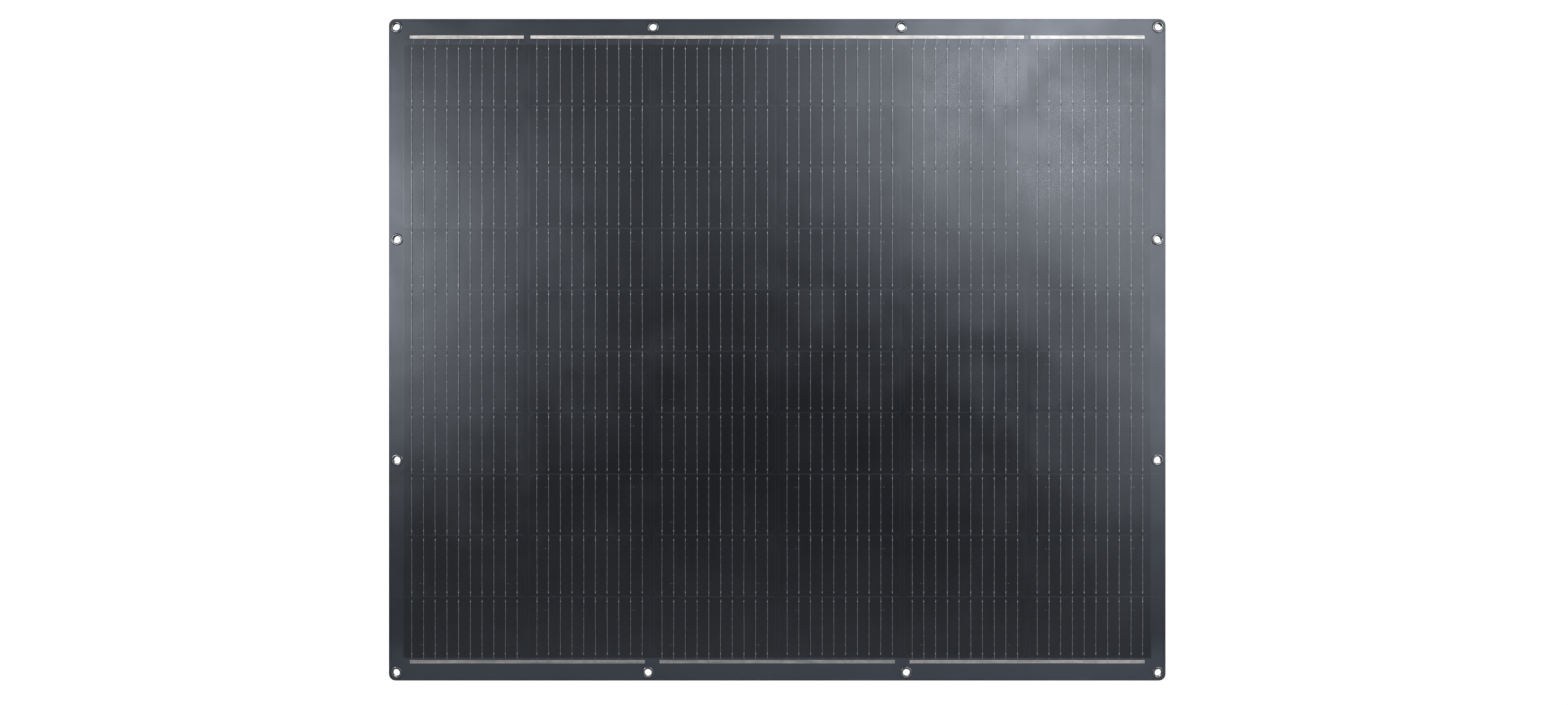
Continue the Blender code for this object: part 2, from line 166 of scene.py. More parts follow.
# %% Selecting and editing
def only(obj):
    """Makes one object the selected and active one."""
    bpy.ops.object.select_all(action="DESELECT")
    obj.select_set(True)
    bpy.context.view_layer.objects.active = obj
    return obj


def edit(obj, kind, test):
    """Enters edit mode with only the parts of one kind, such as edges, that pass a test."""
    only(obj)
    bpy.ops.object.mode_set(mode="EDIT")
    bpy.ops.mesh.select_mode(type={"verts": "VERT", "edges": "EDGE", "faces": "FACE"}[kind])
    pick(obj, kind, test)


def pick(obj, kind, test):
    """Changes the selection in edit mode."""
    bpy.ops.mesh.select_all(action="DESELECT")
    mesh = bmesh.from_edit_mesh(obj.data)
    for part in getattr(mesh, kind):
        if test(part):
            part.select_set(True)
    mesh.select_flush_mode()
    bmesh.update_edit_mesh(obj.data)


def leave():
    bpy.ops.object.mode_set(mode="OBJECT")


print("hand tools ready")


# %% Starting from a primitive
def block(name, low, high):
    """Adds a block between two corners."""
    low, high = Vector(low), Vector(high)
    bpy.ops.object.select_all(action="DESELECT")
    bpy.ops.mesh.primitive_cube_add(size=1, location=(low + high) / 2, scale=high - low)
    return settle(name)


def rod(name, radius, start, end, sides):
    """Adds a straight rod between two points."""
    start, end = Vector(start), Vector(end)
    turn = (end - start).to_track_quat("Z", "Y").to_euler()
    bpy.ops.object.select_all(action="DESELECT")
    bpy.ops.mesh.primitive_cylinder_add(
        vertices=sides,
        radius=radius,
        depth=(end - start).length,
        location=(start + end) / 2,
        rotation=turn,
    )
    return settle(name)


def settle(name):
    """Names the new object and puts its place into its mesh."""
    obj = bpy.context.active_object
    obj.name = obj.data.name = name
    bpy.ops.object.transform_apply(location=True, rotation=True, scale=True)
    return obj


print("primitives ready")


# %% Places of parts of a mesh
def middle(part):
    """The middle of an edge or a face."""
    return sum((vert.co for vert in part.verts), Vector()) / len(part.verts)


def along(edge, axis):
    """True for an edge that runs along one axis."""
    way = edge.verts[1].co - edge.verts[0].co
    return abs(way[axis]) > 0.99 * way.length


def near(value, target, reach=1e-5):
    return abs(value - target) < reach


X, Y, Z = range(3)
print("tests for picking ready")


# %% Finishing tools
def apply_modifier(obj, kind, **settings):
    """Adds a modifier with its settings and applies it at once."""
    only(obj)
    modifier = obj.modifiers.new(kind.title(), kind)
    for name, value in settings.items():
        setattr(modifier, name, value)
    bpy.ops.object.modifier_apply(modifier=modifier.name)
    return obj


def duplicate(obj, name):
    """A copy with a mesh of its own."""
    copy = obj.copy()
    copy.data = obj.data.copy()
    copy.name = copy.data.name = name
    bpy.context.scene.collection.objects.link(copy)
    return copy


def discard(*objects):
    """Removes patterns and cutters that have done their work."""
    for obj in objects:
        mesh = obj.data
        bpy.data.objects.remove(obj)
        bpy.data.meshes.remove(mesh)


def smooth(obj, degrees=30):
    only(obj)
    bpy.ops.object.shade_smooth_by_angle(angle=math.radians(degrees))
    return obj


print("finishing tools ready")


# %% Cutting at a height
def slice_at(obj, height, keep=None):
    """Cuts straight across at a height and keeps what is "above" or "below" it.

    With keep left out, the cut only adds a row of edges.
    """
    edit(obj, "verts", lambda vert: True)
    bpy.ops.mesh.bisect(
        plane_co=(0, 0, height),
        plane_no=(0, 0, 1),
        use_fill=keep is not None,
        clear_inner=keep == "above",
        clear_outer=keep == "below",
    )
    leave()
    return obj


def strip_of(blank, name, segment, rows=14):
    """One segment of a whole-sheet blank, with rows of edges that let it bend."""
    piece = duplicate(blank, name)
    if segment.top < SHEET_TOP:
        slice_at(piece, segment.top, keep="below")
    if segment.bottom > SHEET_BOTTOM:
        slice_at(piece, segment.bottom, keep="above")
    if len(segment.bodies) == 2:
        for step in range(1, rows):
            slice_at(piece, segment.top + (segment.bottom - segment.top) * step / rows)
    return piece


print("cutting tools ready")


# %% Copying a pattern many times
def stamp(name, pattern, places):
    """One mesh with a copy of the pattern at each place, a 4x4 matrix."""
    made = bmesh.new()
    for place in places:
        before = len(made.verts)
        made.from_mesh(pattern.data)
        made.verts.ensure_lookup_table()
        fresh = made.verts[before:]
        bmesh.ops.transform(made, matrix=place, verts=fresh)
    mesh = bpy.data.meshes.new(name)
    made.to_mesh(mesh)
    made.free()
    obj = bpy.data.objects.new(name, mesh)
    bpy.context.scene.collection.objects.link(obj)
    return obj


def merge(name, *objects):
    """Joins objects into one piece."""
    only(objects[0])
    for obj in objects[1:]:
        obj.select_set(True)
    bpy.ops.object.join()
    objects[0].name = objects[0].data.name = name
    return objects[0]


print("copying tools ready")

# %% [markdown]
# ## Shader arithmetic
# Patterns such as the grid of cells are easiest to read as sums. A small class wraps a socket, so
# that an expression in Python adds the Math nodes behind it, and one method adds any other node.
# Colours go through Mix nodes, because Math nodes would turn them grey.


# %% A socket that takes part in sums
class Signal:
    def __init__(self, finish, socket):
        self.finish, self.socket = finish, socket

    def math(self, operation, *values):
        return self.finish.node("ShaderNodeMath", {"operation": operation}, list(values))

    def __add__(self, other):
        return self.math("ADD", self, other)

    def __sub__(self, other):
        return self.math("SUBTRACT", self, other)

    def __rsub__(self, other):
        return self.math("SUBTRACT", other, self)

    def __mul__(self, other):
        return self.math("MULTIPLY", self, other)

    def __mod__(self, other):
        return self.math("FLOORED_MODULO", self, other)

    def __abs__(self):
        return self.math("ABSOLUTE", self)

    __radd__ = __add__
    __rmul__ = __mul__

    def least(self, other):
        return self.math("MINIMUM", self, other)

    def ramp(self, low, high):
        """Rises smoothly from 0 to 1 while the value goes from low to high."""
        values = {"Value": self, "From Min": low, "From Max": high}
        return self.finish.node("ShaderNodeMapRange", {"interpolation_type": "SMOOTHSTEP"}, values)


print("a Signal adds Math nodes")


# %% A finish and its nodes
class Finish:
    """A material whose nodes are added one call at a time."""

    def __init__(self, name):
        self.material = bpy.data.materials.new(name)
        self.material.use_nodes = True
        self.tree = self.material.node_tree
        self.tree.nodes.clear()

    def node(self, kind, settings=None, values=None, out=0):
        made = self.tree.nodes.new(kind)
        for name, value in (settings or {}).items():
            if name == "stops":
                self.set_stops(made.color_ramp.elements, value)
            else:
                setattr(made, name, value)
        if isinstance(values, list):
            # A list fills the sockets in their order.
            values = dict(enumerate(values))
        for name, value in (values or {}).items():
            self.put(made.inputs[name], value)
        return Signal(self, made.outputs[out])

    def put(self, socket, value):
        if isinstance(value, Signal):
            self.tree.links.new(value.socket, socket)
        else:
            socket.default_value = value

    def set_stops(self, elements, stops):
        while len(elements) < len(stops):
            elements.new(1.0)
        for element, (position, colour) in zip(elements, stops):
            element.position = position
            element.color = colour

    def show(self, shader):
        """Connects the finished shader to the surface."""
        end = self.tree.nodes.new("ShaderNodeOutputMaterial")
        self.put(end.inputs["Surface"], shader)
        print("finish", self.material.name, "uses", len(self.tree.nodes), "nodes")
        return self.material


# %% Common nodes
def grey(value, tint=(1.0, 1.0, 1.0)):
    """A linear colour of a given lightness."""
    return (value * tint[0], value * tint[1], value * tint[2], 1.0)


def place_of(finish):
    """The point on the object, and its three coordinates in millimetres."""
    point = finish.node("ShaderNodeTexCoord", out="Object")
    split = finish.node("ShaderNodeSeparateXYZ", values=[point]).socket.node
    return point, *[Signal(finish, socket) * (1 / MM) for socket in split.outputs]


def cloud(finish, point, size, detail=2.0, roughness=0.5, stretch=(1, 1, 1)):
    """Noise from 0 to 1 whose spots are about size metres wide."""
    scale = tuple(1 / (size * way) for way in stretch)
    moved = finish.node("ShaderNodeMapping", values={"Vector": point, "Scale": scale})
    values = {"Vector": moved, "Scale": 1.0, "Detail": detail, "Roughness": roughness}
    return finish.node("ShaderNodeTexNoise", values=values)


def blend_colours(finish, share, first, second):
    """Goes from the first colour to the second. Sockets 6 and 7 of a Mix node are its colours."""
    values = {0: share, 6: first, 7: second}
    return finish.node("ShaderNodeMix", {"data_type": "RGBA"}, values, out=2)


def bump(finish, height):
    """A normal bent by a height in metres."""
    return finish.node("ShaderNodeBump", values={"Height": height, "Distance": 1.0})


def surface(finish, colour, roughness, height=None, metallic=0.0, specular=0.5):
    """Ends a finish with a Principled shader. The height of its relief is in metres."""
    values = {
        "Base Color": colour,
        "Roughness": roughness,
        "Metallic": metallic,
        "Specular IOR Level": specular,
    }
    if height is not None:
        values["Normal"] = bump(finish, height)
    return finish.show(finish.node("ShaderNodeBsdfPrincipled", values=values))


print("common nodes ready")

# %% [markdown]
# ## Camera
# The sheet is seen square on from the middle of its height. A fairly short lens, 1.8 m away,
# gives the eyelets near the rim a hint of their bores. The lens is worked out from the width that
# the frame should cover at the sheet, which is easier to judge than a focal length.

# %% The camera
EYE = Vector((0.0101, -1.8, -0.4866))
FRAME_WIDTH_AT_SHEET = 2.344
SENSOR = 36.0
FAR_END = 50
bpy.ops.object.select_all(action="DESELECT")
bpy.ops.object.camera_add(location=EYE, rotation=(math.radians(90), 0, 0))
camera = bpy.context.active_object
camera.name = "studio_camera"
camera.data.sensor_width = SENSOR
camera.data.lens = SENSOR * -EYE.y / FRAME_WIDTH_AT_SHEET
camera.data.clip_end = FAR_END
bpy.context.scene.camera = camera
print(f"lens {camera.data.lens:.1f} mm")

# %% [markdown]
# ## Studio
# The sheet hangs in a white studio: a floor that curves up into a wall all round. A wide bowl is
# turned from a profile, so that it is the same from every side. Its own light is seen only by
# the camera, which leaves the shading of the sheet to the lamps.

# %% The studio bowl
FLOOR_HEIGHT = SHEET_BOTTOM - 0.35
FLOOR_RADIUS = 5.0
BOWL_SIDES = 96
COVE = [(5.6, 0.12), (6.1, 0.5), (6.4, 1.1), (6.5, 2.0), (6.5, 7.0)]
floor_middle = (0, 0, FLOOR_HEIGHT)
bpy.ops.mesh.primitive_circle_add(
    vertices=BOWL_SIDES, radius=FLOOR_RADIUS, fill_type="NGON", location=floor_middle
)
bowl = settle("studio_bowl")
edit(bowl, "edges", lambda edge: edge.is_boundary)
radius, height = FLOOR_RADIUS, 0.0
for next_radius, next_height in COVE:
    grow = next_radius / radius
    rise = (0, 0, next_height - height)
    bpy.ops.mesh.extrude_edges_move(TRANSFORM_OT_translate={"value": rise})
    bpy.ops.transform.resize(value=(grow, grow, 1), center_override=floor_middle)
    radius, height = next_radius, next_height
leave()
bowl.visible_diffuse = False
bowl.visible_glossy = False
bowl.visible_shadow = False
bowl.visible_transmission = False
print("bowl", len(bowl.data.polygons), "faces")

# %% The white of the studio
STUDIO_BRIGHTNESS = 1.04
studio_white = Finish("studio_white")
glow = {"Color": grey(1.0), "Strength": STUDIO_BRIGHTNESS}
white = studio_white.node("ShaderNodeEmission", values=glow)
bowl.data.materials.append(studio_white.show(white))

# %% [markdown]
# ## Lamps
# The film is satin, so what is seen in it is a blurred picture of the room: a window on the left,
# two on the right, a faint glow above and below, and darkness between them. Area lamps stand where
# the film mirrors them. Three steep lamps light the silver parts and don't show in the film.


# %% Lamps
def softbox(name, place, size, radiance, tint=(1.0, 1.0, 1.0), mirrored=True):
    """A rectangular lamp that faces the sheet. Its radiance is what a mirror would show."""
    place = Vector(place)
    turn = (SHEET_MIDDLE - place).to_track_quat("-Z", "Y").to_euler()
    bpy.ops.object.select_all(action="DESELECT")
    bpy.ops.object.light_add(type="AREA", location=place, rotation=turn)
    lamp = bpy.context.active_object
    lamp.name = name
    lamp.data.shape = "RECTANGLE"
    lamp.data.size, lamp.data.size_y = size
    lamp.data.energy = radiance * math.pi * size[0] * size[1]
    lamp.data.color = tint
    lamp.visible_camera = False
    lamp.visible_glossy = mirrored


COOL = (0.855, 0.925, 1.05)
softbox("window_left", (-1.42, -1.8, -0.14), (0.50, 0.74), 8.7, COOL)
softbox("window_right", (0.74, -1.9, 0.34), (0.60, 0.54), 10.2, COOL)
softbox("window_far_right", (1.42, -1.7, -0.40), (0.34, 0.85), 8.0, COOL)
softbox("glow_below", (0, -1.8, -1.80), (2.8, 0.70), 0.55, COOL)
softbox("glow_above", (-0.30, -1.9, 0.26), (0.80, 0.85), 0.40, COOL)
softbox("lamp_above", (0, -2.2, 1.9), (3.0, 1.0), 20.0, mirrored=False)
softbox("lamp_left", (-2.6, -1.8, -0.9), (0.9, 1.6), 13.0, mirrored=False)
softbox("lamp_right", (2.6, -1.8, -0.9), (0.9, 1.6), 13.0, mirrored=False)
softbox("lamp_behind", (-0.6, 2.8, 1.4), (2.4, 1.6), 9.0)
softbox("glow_behind", (2.4, 2.2, -0.9), (1.6, 1.4), 3.0)
print("lamps:", [obj.name for obj in bpy.data.objects if obj.type == "LIGHT"])

# %% The room's dim light
ROOM_BRIGHTNESS = 0.11
world = bpy.data.worlds.new("dim_room")
bpy.context.scene.world = world
world.use_nodes = True
background = world.node_tree.nodes["Background"]
background.inputs["Color"].default_value = grey(ROOM_BRIGHTNESS, COOL)
background.inputs["Strength"].default_value = 1.0
bpy.context.scene.view_settings.view_transform = "Standard"
print("world", world.name)

# %% [markdown]
# ## Front film
# The film is clear plastic with a satin skin. Over the wires, cells and ribbons it is drawn down
# tight, so it stands up in low ridges. The blank is a thin plate with round corners and punched
# eyelet holes. It is made once for the whole sheet and then cut into the six segments.

# %% A blank for the whole sheet
CORNER_RADIUS = 10 * MM
CORNER_STEPS = 6
HOLE_RADIUS = 6.5 * MM
HOLE_SIDES = 24
PUNCH_REACH = 20 * MM


def eyelet_centre(node):
    low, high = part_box(node)
    return (low + high) / 2


EYELETS = [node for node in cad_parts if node.startswith("eyelet_")]


def sheet_blank(name, front, back):
    """A plate with the outline of the sheet and its round corners."""
    plate = block(name, (SHEET_LEFT, front, SHEET_BOTTOM), (SHEET_RIGHT, back, SHEET_TOP))
    edit(plate, "edges", lambda edge: along(edge, Y))
    bpy.ops.mesh.bevel(offset=CORNER_RADIUS, segments=CORNER_STEPS, affect="EDGES")
    leave()
    return plate


def punch(plate):
    """Cuts the eyelet holes."""
    cutters = []
    for node in EYELETS:
        x, _, z = eyelet_centre(node)
        start, end = (x, -PUNCH_REACH, z), (x, PUNCH_REACH, z)
        cutters.append(rod("punch", HOLE_RADIUS, start, end, HOLE_SIDES))
    tool = merge("punch", *cutters)
    apply_modifier(plate, "BOOLEAN", operation="DIFFERENCE", solver="EXACT", object=tool)
    discard(tool)


print(len(EYELETS), "eyelets")


# %% The film
def on_front_outline(vert):
    """True for a corner on the front whose edge leads straight to the back."""
    ends = [edge.other_vert(vert).co.y for edge in vert.link_edges]
    return near(vert.co.y, FILM_FRONT) and any(near(end, FILM_BACK) for end in ends)


RIM = 1.2 * MM
RIM_DROP = 0.14 * MM
film_blank = sheet_blank("film_blank", FILM_FRONT, FILM_BACK)
edit(film_blank, "faces", lambda face: face.normal.y < -0.9)
bpy.ops.mesh.inset(thickness=RIM)
pick(film_blank, "verts", on_front_outline)
bpy.ops.transform.translate(value=(0, RIM_DROP, 0))
leave()
punch(film_blank)
films = [strip_of(film_blank, f"film_{segment.name}", segment) for segment in SEGMENTS]
discard(film_blank)
print("film faces:", [len(film.data.polygons) for film in films])

# %% [markdown]
# ## The film's finish
# The finish of the film is a clear coat and no colour of its own: a share of the light that grows
# towards grazing angles is mirrored, and the rest passes. Its relief is written as a height in
# metres, so that the ridges over the wires stay true to size: fold the sheet's width into one
# column, measure the distance to the nearest wire, and turn that distance into a ridge.


# %% The grid as numbers
def grid(finish, x, z):
    """Distances in mm, across and down from the middle of the nearest cell, and its turn."""
    half_sheet = COLUMN_PITCH * COLUMNS / 2 / MM
    column = (x + half_sheet) * (MM / COLUMN_PITCH)
    across = (column % 1 - 0.5) * (COLUMN_PITCH / MM)
    down = (FIRST_CELL_TOP / MM - z) % (ROW_PITCH / MM) - CELL_HEIGHT / 2 / MM
    turn = 1 - 2 * (column.math("FLOOR", column) % 2)
    return across, down, turn


def in_field(x, z, reach, inner):
    """1 among the cells. It fades to 0 between inner and reach, in mm past their outline."""
    middle_height, half_height = FIELD_MIDDLE / MM, FIELD_HEIGHT / 2 / MM
    sideways = abs(x).ramp(CELLS_RIGHT / MM + reach, CELLS_RIGHT / MM + inner)
    return sideways * abs(z - middle_height).ramp(half_height + reach, half_height + inner)


def wire_distance(across):
    """Distance in mm to the nearest wire."""
    return abs((across + WIRE_PITCH * WIRES / 2 / MM) % (WIRE_PITCH / MM) - WIRE_PITCH / 2 / MM)


def cell_depth(across, down, turn):
    """How far inside the outline of its cell a point is, in mm."""
    side = CELL_WIDTH / 2 / MM - abs(across)
    end = CELL_HEIGHT / 2 / MM - abs(down)
    cut = (side + CELL_HEIGHT / 2 / MM - turn * down - CELL_CUT / MM) * math.sqrt(0.5)
    return side.least(end).least(cut)


def shade_of_cell(finish, x, z):
    """A chance number from 0 to 1 that is the same all over one cell."""
    column = x * (MM / COLUMN_PITCH)
    row = (FIRST_CELL_TOP / MM - z) * (MM / ROW_PITCH)
    floors = [column.math("FLOOR", column), row.math("FLOOR", row)]
    index = finish.node("ShaderNodeCombineXYZ", values=floors)
    return finish.node("ShaderNodeTexWhiteNoise", {"noise_dimensions": "2D"}, {"Vector": index})


print("the grid can be measured in a shader")

# %% The relief of the film
film_finish = Finish("clear_satin_film")
point, x, y, z = place_of(film_finish)
across, down, turn = grid(film_finish, x, z)
in_cells = (
    z.ramp(LAST_CELL_BOTTOM / MM - 3, LAST_CELL_BOTTOM / MM)
    * z.ramp(FIRST_CELL_TOP / MM + 9, FIRST_CELL_TOP / MM + 6)
    * abs(x).ramp(CELLS_RIGHT / MM + 2, CELLS_RIGHT / MM)
)
beside = wire_distance(across)
ridge = beside.ramp(1.3, 0.1) * in_cells
inside = cell_depth(across, down * 0.98, turn)
plateau = inside.ramp(-0.5, 0.7) * in_cells
grain = cloud(film_finish, point, 0.9 * MM, detail=1.0)
waves = cloud(film_finish, point, 60 * MM, detail=1.5)
swell = cloud(film_finish, point, 240 * MM, detail=0.0, stretch=(1, 1, 2.0))
relief = ridge * 0.07 + plateau * 0.035 + grain * 0.003 + waves * 0.5 + swell * 3.0
normal = bump(film_finish, relief * MM)

# %% How much the film mirrors
IOR_OF_FILM = 1.5
SATIN = 0.34
smudges = cloud(film_finish, point, 90 * MM, detail=3.0, roughness=0.6)
scuffs = cloud(film_finish, point, 14 * MM, detail=2.0, stretch=(1.0, 1.0, 4.0))
roughness = SATIN + smudges.ramp(0.35, 0.75) * 0.05 + scuffs.ramp(0.55, 0.8) * 0.02
mirror = film_finish.node("ShaderNodeFresnel", values={"IOR": IOR_OF_FILM, "Normal": normal})
# Painted shade and painted highlight: the film mirrors less in a thin band beside each wire, and
# more right over it.
shade_beside_wire = beside.ramp(1.5, 1.0) * beside.ramp(0.35, 0.75) * in_cells
sheen_on_wire = beside.ramp(0.7, 0.3) * in_cells
lot = shade_of_cell(film_finish, x, z)
share = mirror * (1 - shade_beside_wire * 0.5 + sheen_on_wire * 0.5) * (0.94 + lot * 0.12)
gloss = film_finish.node(
    "ShaderNodeBsdfGlossy",
    {"distribution": "BECKMANN"},
    {"Color": grey(1.0), "Roughness": roughness, "Normal": normal},
)
clear = film_finish.node("ShaderNodeBsdfTransparent", values={"Color": grey(1.0)})
film_coat = film_finish.node("ShaderNodeMixShader", values=[share, clear, gloss])
film_material = film_finish.show(film_coat)
for film in films:
    film.data.materials.append(film_material)

# %% [markdown]
# The steep lamps can't be seen in the film, but Cycles would still spend most of its light samples
# on them there. Light linking keeps them from the film, so its reflection comes out cleaner.

# %% Lamps that are kept from the film
films_apart = bpy.data.collections.new("films_apart")
for film in films:
    films_apart.objects.link(film)
for member in films_apart.collection_objects:
    member.light_linking.link_state = "EXCLUDE"
lamps = [obj for obj in bpy.data.objects if obj.type == "LIGHT"]
steep_lamps = [lamp for lamp in lamps if not lamp.visible_glossy]
for lamp in steep_lamps:
    lamp.light_linking.receiver_collection = films_apart
print("lamps kept from the film:", [lamp.name for lamp in steep_lamps])

# %% [markdown]
# ## Board
# Behind the cells lies the board that gives the sheet its stiffness, with a black weather layer on
# both faces. The front is sunk a little inside a rim where the film is welded down, which makes
# room for the cells and closes the edge of the laminate.

# %% The board
SEAM = 0.02 * MM
WELD = 3 * MM
EDGE_ROUND = 0.5 * MM
board_blank = sheet_blank("board_blank", FILM_BACK + SEAM, BOARD_BACK)
edit(board_blank, "faces", lambda face: face.normal.y < -0.9)
bpy.ops.mesh.inset(thickness=WELD)
sink = (0, BOARD_FRONT - FILM_BACK - SEAM, 0)
bpy.ops.mesh.extrude_region_move(TRANSFORM_OT_translate={"value": sink})
pick(board_blank, "edges", lambda edge: all(near(vert.co.y, BOARD_BACK) for vert in edge.verts))
bpy.ops.mesh.bevel(offset=EDGE_ROUND, segments=2, affect="EDGES")
leave()
punch(board_blank)
boards = [strip_of(board_blank, f"board_{segment.name}", segment) for segment in SEGMENTS]
discard(board_blank)
print("board faces:", [len(board.data.polygons) for board in boards])

# %% [markdown]
# The back is a black layer that keeps out the weather, laid over glass cloth. It shows a fine weave
# and, faintly, the outlines of the cells and wires that are pressed into it from the other side.
# Such relief is far too fine to model, so it is a height for a Bump node.

# %% The back of the board: woven weather layer
SLATE = (0.86, 0.96, 1.18)
THREADS = 2.2
back_finish = Finish("black_weather_layer")
point, x, y, z = place_of(back_finish)
weave = abs(x.math("SINE", x * THREADS)) * abs(x.math("SINE", z * THREADS))
across, down, turn = grid(back_finish, x, z)
pressed = cell_depth(across, down, turn).ramp(-1.2, 2.5) * in_field(x, z, 2, 0)
wires_through = wire_distance(across).ramp(1.6, 0.2) * pressed
waves = cloud(back_finish, point, 70 * MM, detail=2.0)
speck = cloud(back_finish, point, 1.4 * MM, detail=1.0)
relief = weave * 0.03 + speck * 0.02 + pressed * 0.16 + wires_through * 0.05 + waves * 0.8
cloudy = cloud(back_finish, point, 45 * MM, detail=4.0)
black = blend_colours(
    back_finish, cloudy.ramp(0.3, 0.7), grey(0.016, SLATE), grey(0.024, SLATE)
)
back_material = surface(back_finish, black, 0.42 + cloudy * 0.14, relief * MM)

# %% [markdown]
# From the front, the board is seen as a slate-blue margin round the cells. Between the cells it is
# as dark as they are, so one finish goes from slate to black where the field of cells begins.

# %% The front of the board: slate margins round the black field of cells
front_finish = Finish("slate_margin")
point, x, y, z = place_of(front_finish)
cloudy = cloud(front_finish, point, 60 * MM, detail=3.0)
slate = blend_colours(
    front_finish, cloudy.ramp(0.3, 0.7), grey(0.030, SLATE), grey(0.039, SLATE)
)
# Painted light: the margin is painted lighter towards the bottom, below the last row of cells.
foot = z.ramp(LAST_CELL_BOTTOM / MM + 40, LAST_CELL_BOTTOM / MM - 8)
slate = blend_colours(front_finish, foot * 0.6, slate, grey(0.11, SLATE))
tone = blend_colours(front_finish, in_field(x, z, 2, -1), slate, grey(0.011, SLATE))
front_material = surface(front_finish, tone, 0.6 + cloudy * 0.1, specular=0.0)

# %% The two finishes on the board
FRONT_REACH = 0.1 * MM
for board in boards:
    board.data.materials.append(back_material)
    board.data.materials.append(front_material)
    for face in board.data.polygons:
        face.material_index = int(face.center.y < BOARD_FRONT + FRONT_REACH)
print("board faces that are slate:", sum(face.material_index for face in boards[0].data.polygons))

# %% [markdown]
# ## Cells
# A half-cell is a wafer of silicon with two corners cut off. Every second column is turned half
# round, so its cut corners are at the top. One wafer is modelled with a fine ground edge and then
# copied to all sixty places.

# %% One cell
CELL_ROWS = 7
GROUND_EDGE = 0.35 * MM
half = Vector((CELL_WIDTH, 0, CELL_HEIGHT)) / 2
cell = block("cell", Vector((0, CELL_FRONT, 0)) - half, Vector((0, CELL_BACK, 0)) + half)
edit(cell, "edges", lambda edge: along(edge, Y) and middle(edge).z < 0)
bpy.ops.mesh.bevel(offset=CELL_CUT, segments=1, affect="EDGES")
pick(cell, "faces", lambda face: face.normal.y < -0.9)
bpy.ops.mesh.inset(thickness=GROUND_EDGE)
leave()
for step in range(1, CELL_ROWS):
    slice_at(cell, -CELL_HEIGHT / 2 + CELL_HEIGHT * step / CELL_ROWS)
print("one cell has", len(cell.data.polygons), "faces")


# %% Places of the cells
def cell_places(segment):
    """Where the cells of a segment go, each second column turned half round."""
    places = []
    for row in range(segment.first_row, segment.last_row + 1):
        for column in range(COLUMNS):
            centre = Vector((column_centre(column), 0, cell_top(row) - CELL_HEIGHT / 2))
            turn = Matrix.Rotation(0 if runs_down(column) else math.pi, 4, "Y")
            places.append(Matrix.Translation(centre) @ turn)
    return places


cells = [stamp(f"cells_{segment.name}", cell, cell_places(segment)) for segment in SEGMENTS]
discard(cell)
print("cells:", sum(len(cell_places(segment)) for segment in SEGMENTS))

# %% [markdown]
# Silicon is nearly black. Printed silver fingers, finer than a hair, cross it every 1.3 mm and only
# lighten it a little, and the ground edge catches some light. The wafer doesn't shine by itself,
# because it is bonded to the film: all the gloss comes from the film in front of it.

# %% The cells' finish
FINGER_PITCH = 1.3
cell_finish = Finish("black_silicon")
point, x, y, z = place_of(cell_finish)
across, down, turn = grid(cell_finish, x, z)
edge_line = cell_depth(across, down, turn).ramp(0.75, 0.35)
fingers = abs((z * (1 / FINGER_PITCH)) % 1 - 0.5).ramp(0.10, 0.02)
column_shade = cloud(cell_finish, point, 160 * MM, detail=0.0)
mottle = cloud(cell_finish, point, 5 * MM, detail=3.0)
dark = grey(0.008, (0.95, 0.98, 1.1))
light = grey(0.013, (0.9, 0.96, 1.15))
silicon = blend_colours(cell_finish, column_shade * 0.6 + mottle * 0.4, dark, light)
printed = blend_colours(cell_finish, fingers * 0.12, silicon, grey(0.06))
ground = blend_colours(cell_finish, edge_line * 0.8, printed, grey(0.045, (0.95, 1, 1.05)))
cell_material = surface(
    cell_finish, ground, 0.45 + mottle * 0.1, mottle * 0.004 * MM, specular=0.0
)
for piece in cells:
    piece.data.materials.append(cell_material)

# %% [markdown]
# ## Wires and solder
# Ten round wires cross each cell and dive behind the next one. Seven solder points hold each wire
# on its cell, and the two at its ends are the largest. There are six hundred wires, so one wire
# has five sides and few rings, and one solder point is a coarse ball pressed flat.

# %% One wire
WIRE_RADIUS = 0.22 * MM
WIRE_SIDES = 5
WIRE_START = 3.4 * MM
FIRST_POINT = 6.5 * MM
POINT_PITCH = 13 * MM
POINTS = 7
PRESSED = (1.2, 0.8, 1.0)
TAIL = (1.3, 1.0, 1.0)
DIVE = 0.45 * MM
top = CELL_HEIGHT / 2
last_point = top - FIRST_POINT - POINT_PITCH * (POINTS - 1)
rings = [top - FIRST_POINT - POINT_PITCH * number for number in (1, 3, 5)]
rings += [last_point, last_point - 1.2 * MM, -top + 0.6 * MM]
wire_middle = (0, WIRE_DEPTH, 0)
low_end, high_end = (0, WIRE_DEPTH, -top - ROW_GAP / 2), (0, WIRE_DEPTH, top - WIRE_START)
wire = rod("wire", WIRE_RADIUS, low_end, high_end, WIRE_SIDES)
for height in rings:
    slice_at(wire, height)
edit(wire, "verts", lambda vert: True)
bpy.ops.transform.resize(value=PRESSED, center_override=wire_middle)
pick(wire, "verts", lambda vert: vert.co.z < last_point - 1 * MM)
bpy.ops.transform.resize(value=TAIL, center_override=wire_middle)
pick(wire, "verts", lambda vert: vert.co.z < -top)
bpy.ops.transform.translate(value=(0, DIVE, 0))
leave()
print("one wire has", len(wire.data.polygons), "faces")

# %% One solder point
bpy.ops.object.select_all(action="DESELECT")
bpy.ops.mesh.primitive_ico_sphere_add(subdivisions=1, radius=1, location=(0, 0, 0))
point_pattern = settle("solder_point")
edit(point_pattern, "verts", lambda vert: abs(vert.co.z) > 0.9)
bpy.ops.transform.resize(value=(1.0, 1.0, 0.85))
leave()
print("one solder point has", len(point_pattern.data.polygons), "faces")

# %% [markdown]
# On a real sheet no two wires are quite straight. Each one drifts sideways by a fraction of a
# millimetre, slowly and with a quicker tremor on top. The solder drifts by the same rule, so that
# it stays on its wire.


